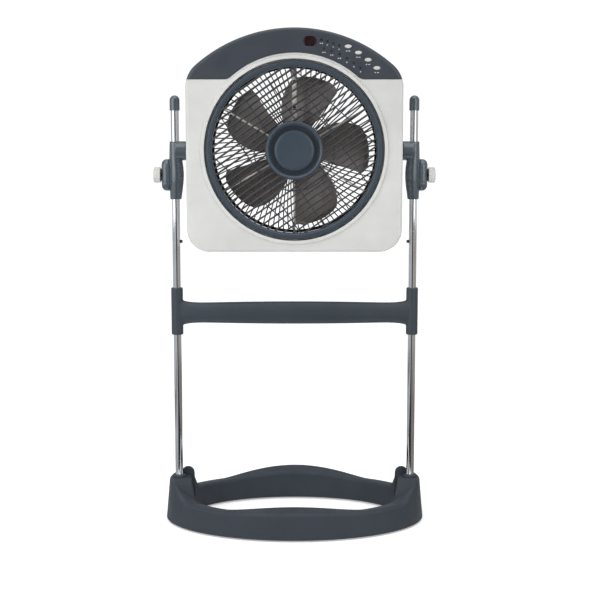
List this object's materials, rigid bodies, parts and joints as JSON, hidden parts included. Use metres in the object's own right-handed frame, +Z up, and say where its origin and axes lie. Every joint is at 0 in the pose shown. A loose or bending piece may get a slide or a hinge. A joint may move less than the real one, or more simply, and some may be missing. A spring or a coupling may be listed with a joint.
{
  "type": "box fan on a stand",
  "caption": "Box fan head with a turning louvre grille, tilting and sliding between two chrome tubes on an oval hoop base.",
  "frame": {"origin": "on the floor, under the middle of the base", "axes": "+Z up, -Y towards the front of the fan, +X to the right as seen from the front"},
  "size_m": [0.5634, 0.338, 0.992],
  "materials": {
    "base_plastic": "satin",
    "panel_plastic": "satin",
    "grille_plastic": "satin",
    "case_plastic": "satin",
    "knob_plastic": "satin",
    "blade_plastic": "smoked, semi-gloss",
    "guard_plastic": "satin",
    "window_plastic": "polished",
    "lens_plastic": "satin",
    "circuit_board": "matt",
    "tube_chrome": "polished",
    "zinc_steel": "zinc plated",
    "motor_paint": "satin",
    "foot_rubber": "matt"
  },
  "bodies": {
    "stand": {"base_ring": "base_plastic", "foot_pad_1": "foot_rubber", "foot_pad_2": "foot_rubber", "foot_pad_3": "foot_rubber", "foot_pad_4": "foot_rubber", "crossbar": "base_plastic", "lower_tube_left": "tube_chrome", "lower_tube_right": "tube_chrome", "upper_tube_left": "tube_chrome", "upper_tube_right": "tube_chrome", "tube_cap_left": "base_plastic", "tube_cap_right": "base_plastic", "stop_pin_left": "foot_rubber", "stop_pin_right": "foot_rubber"},
    "carriage": {"bracket_left": "base_plastic", "bracket_right": "base_plastic", "bracket_collar_left": "base_plastic", "bracket_collar_right": "base_plastic"},
    "knob_left": {"clamp_knob_left": "knob_plastic", "clamp_screw_left": "zinc_steel"},
    "knob_right": {"clamp_knob_right": "knob_plastic", "clamp_screw_right": "zinc_steel"},
    "head": {"front_housing": "case_plastic", "rear_housing": "case_plastic", "housing_screw_1": "zinc_steel", "housing_screw_2": "zinc_steel", "housing_screw_3": "zinc_steel", "housing_screw_4": "zinc_steel", "cord_gland": "foot_rubber", "control_panel": "panel_plastic", "ir_window": "window_plastic", "led_lenses": "lens_plastic", "control_board": "circuit_board", "rear_guard": "guard_plastic", "motor_plate": "zinc_steel", "motor_body": "motor_paint", "capacitor": "guard_plastic", "front_spider": "case_plastic", "grille_motor": "zinc_steel", "pivot_pin_left": "zinc_steel", "pivot_pin_right": "zinc_steel", "pivot_washer_left": "foot_rubber", "pivot_washer_right": "foot_rubber"},
    "fan_rotor": {"impeller": "blade_plastic", "motor_shaft": "zinc_steel", "spinner_nut": "blade_plastic"},
    "grille_rotor": {"louvre_grille": "grille_plastic", "grille_cap": "grille_plastic", "grille_shaft": "zinc_steel"},
    "push_button_1": {"button_1": "knob_plastic"},
    "push_button_2": {"button_2": "knob_plastic"},
    "push_button_3": {"button_3": "knob_plastic"},
    "push_button_4": {"button_4": "knob_plastic"}
  },
  "joints": [
    {"name": "height_slide", "type": "slide", "parent": "stand", "child": "carriage", "axis": [0, 0, 1], "range_m": [-0.08, 0.055]},
    {"name": "head_tilt", "type": "hinge", "parent": "carriage", "child": "head", "pos_m": [0, 0, 0.756], "axis": [1, 0, 0], "range_deg": [-90, 90]},
    {"name": "fan_spin", "type": "hinge", "parent": "head", "child": "fan_rotor", "pos_m": [0, 0, 0.756], "axis": [0, -1, 0], "continuous": true},
    {"name": "grille_spin", "type": "hinge", "parent": "head", "child": "grille_rotor", "pos_m": [0, -0.055, 0.756], "axis": [0, -1, 0], "continuous": true},
    {"name": "left_knob_turn", "type": "hinge", "parent": "carriage", "child": "knob_left", "pos_m": [-0.2685, 0, 0.7065], "axis": [-1, 0, 0], "range_deg": [0, 360]},
    {"name": "right_knob_turn", "type": "hinge", "parent": "carriage", "child": "knob_right", "pos_m": [0.2685, 0, 0.7065], "axis": [1, 0, 0], "range_deg": [0, 360]},
    {"name": "button_1_press", "type": "slide", "parent": "head", "child": "push_button_1", "axis": [0, 1, 0], "range_m": [0, 0.0015], "stiffness_N_per_m": 300, "springref_m": -0.001},
    {"name": "button_2_press", "type": "slide", "parent": "head", "child": "push_button_2", "axis": [0, 1, 0], "range_m": [0, 0.0015], "stiffness_N_per_m": 300, "springref_m": -0.001},
    {"name": "button_3_press", "type": "slide", "parent": "head", "child": "push_button_3", "axis": [0, 1, 0], "range_m": [0, 0.0015], "stiffness_N_per_m": 300, "springref_m": -0.001},
    {"name": "button_4_press", "type": "slide", "parent": "head", "child": "push_button_4", "axis": [0, 1, 0], "range_m": [0, 0.0015], "stiffness_N_per_m": 300, "springref_m": -0.001}
  ]
}
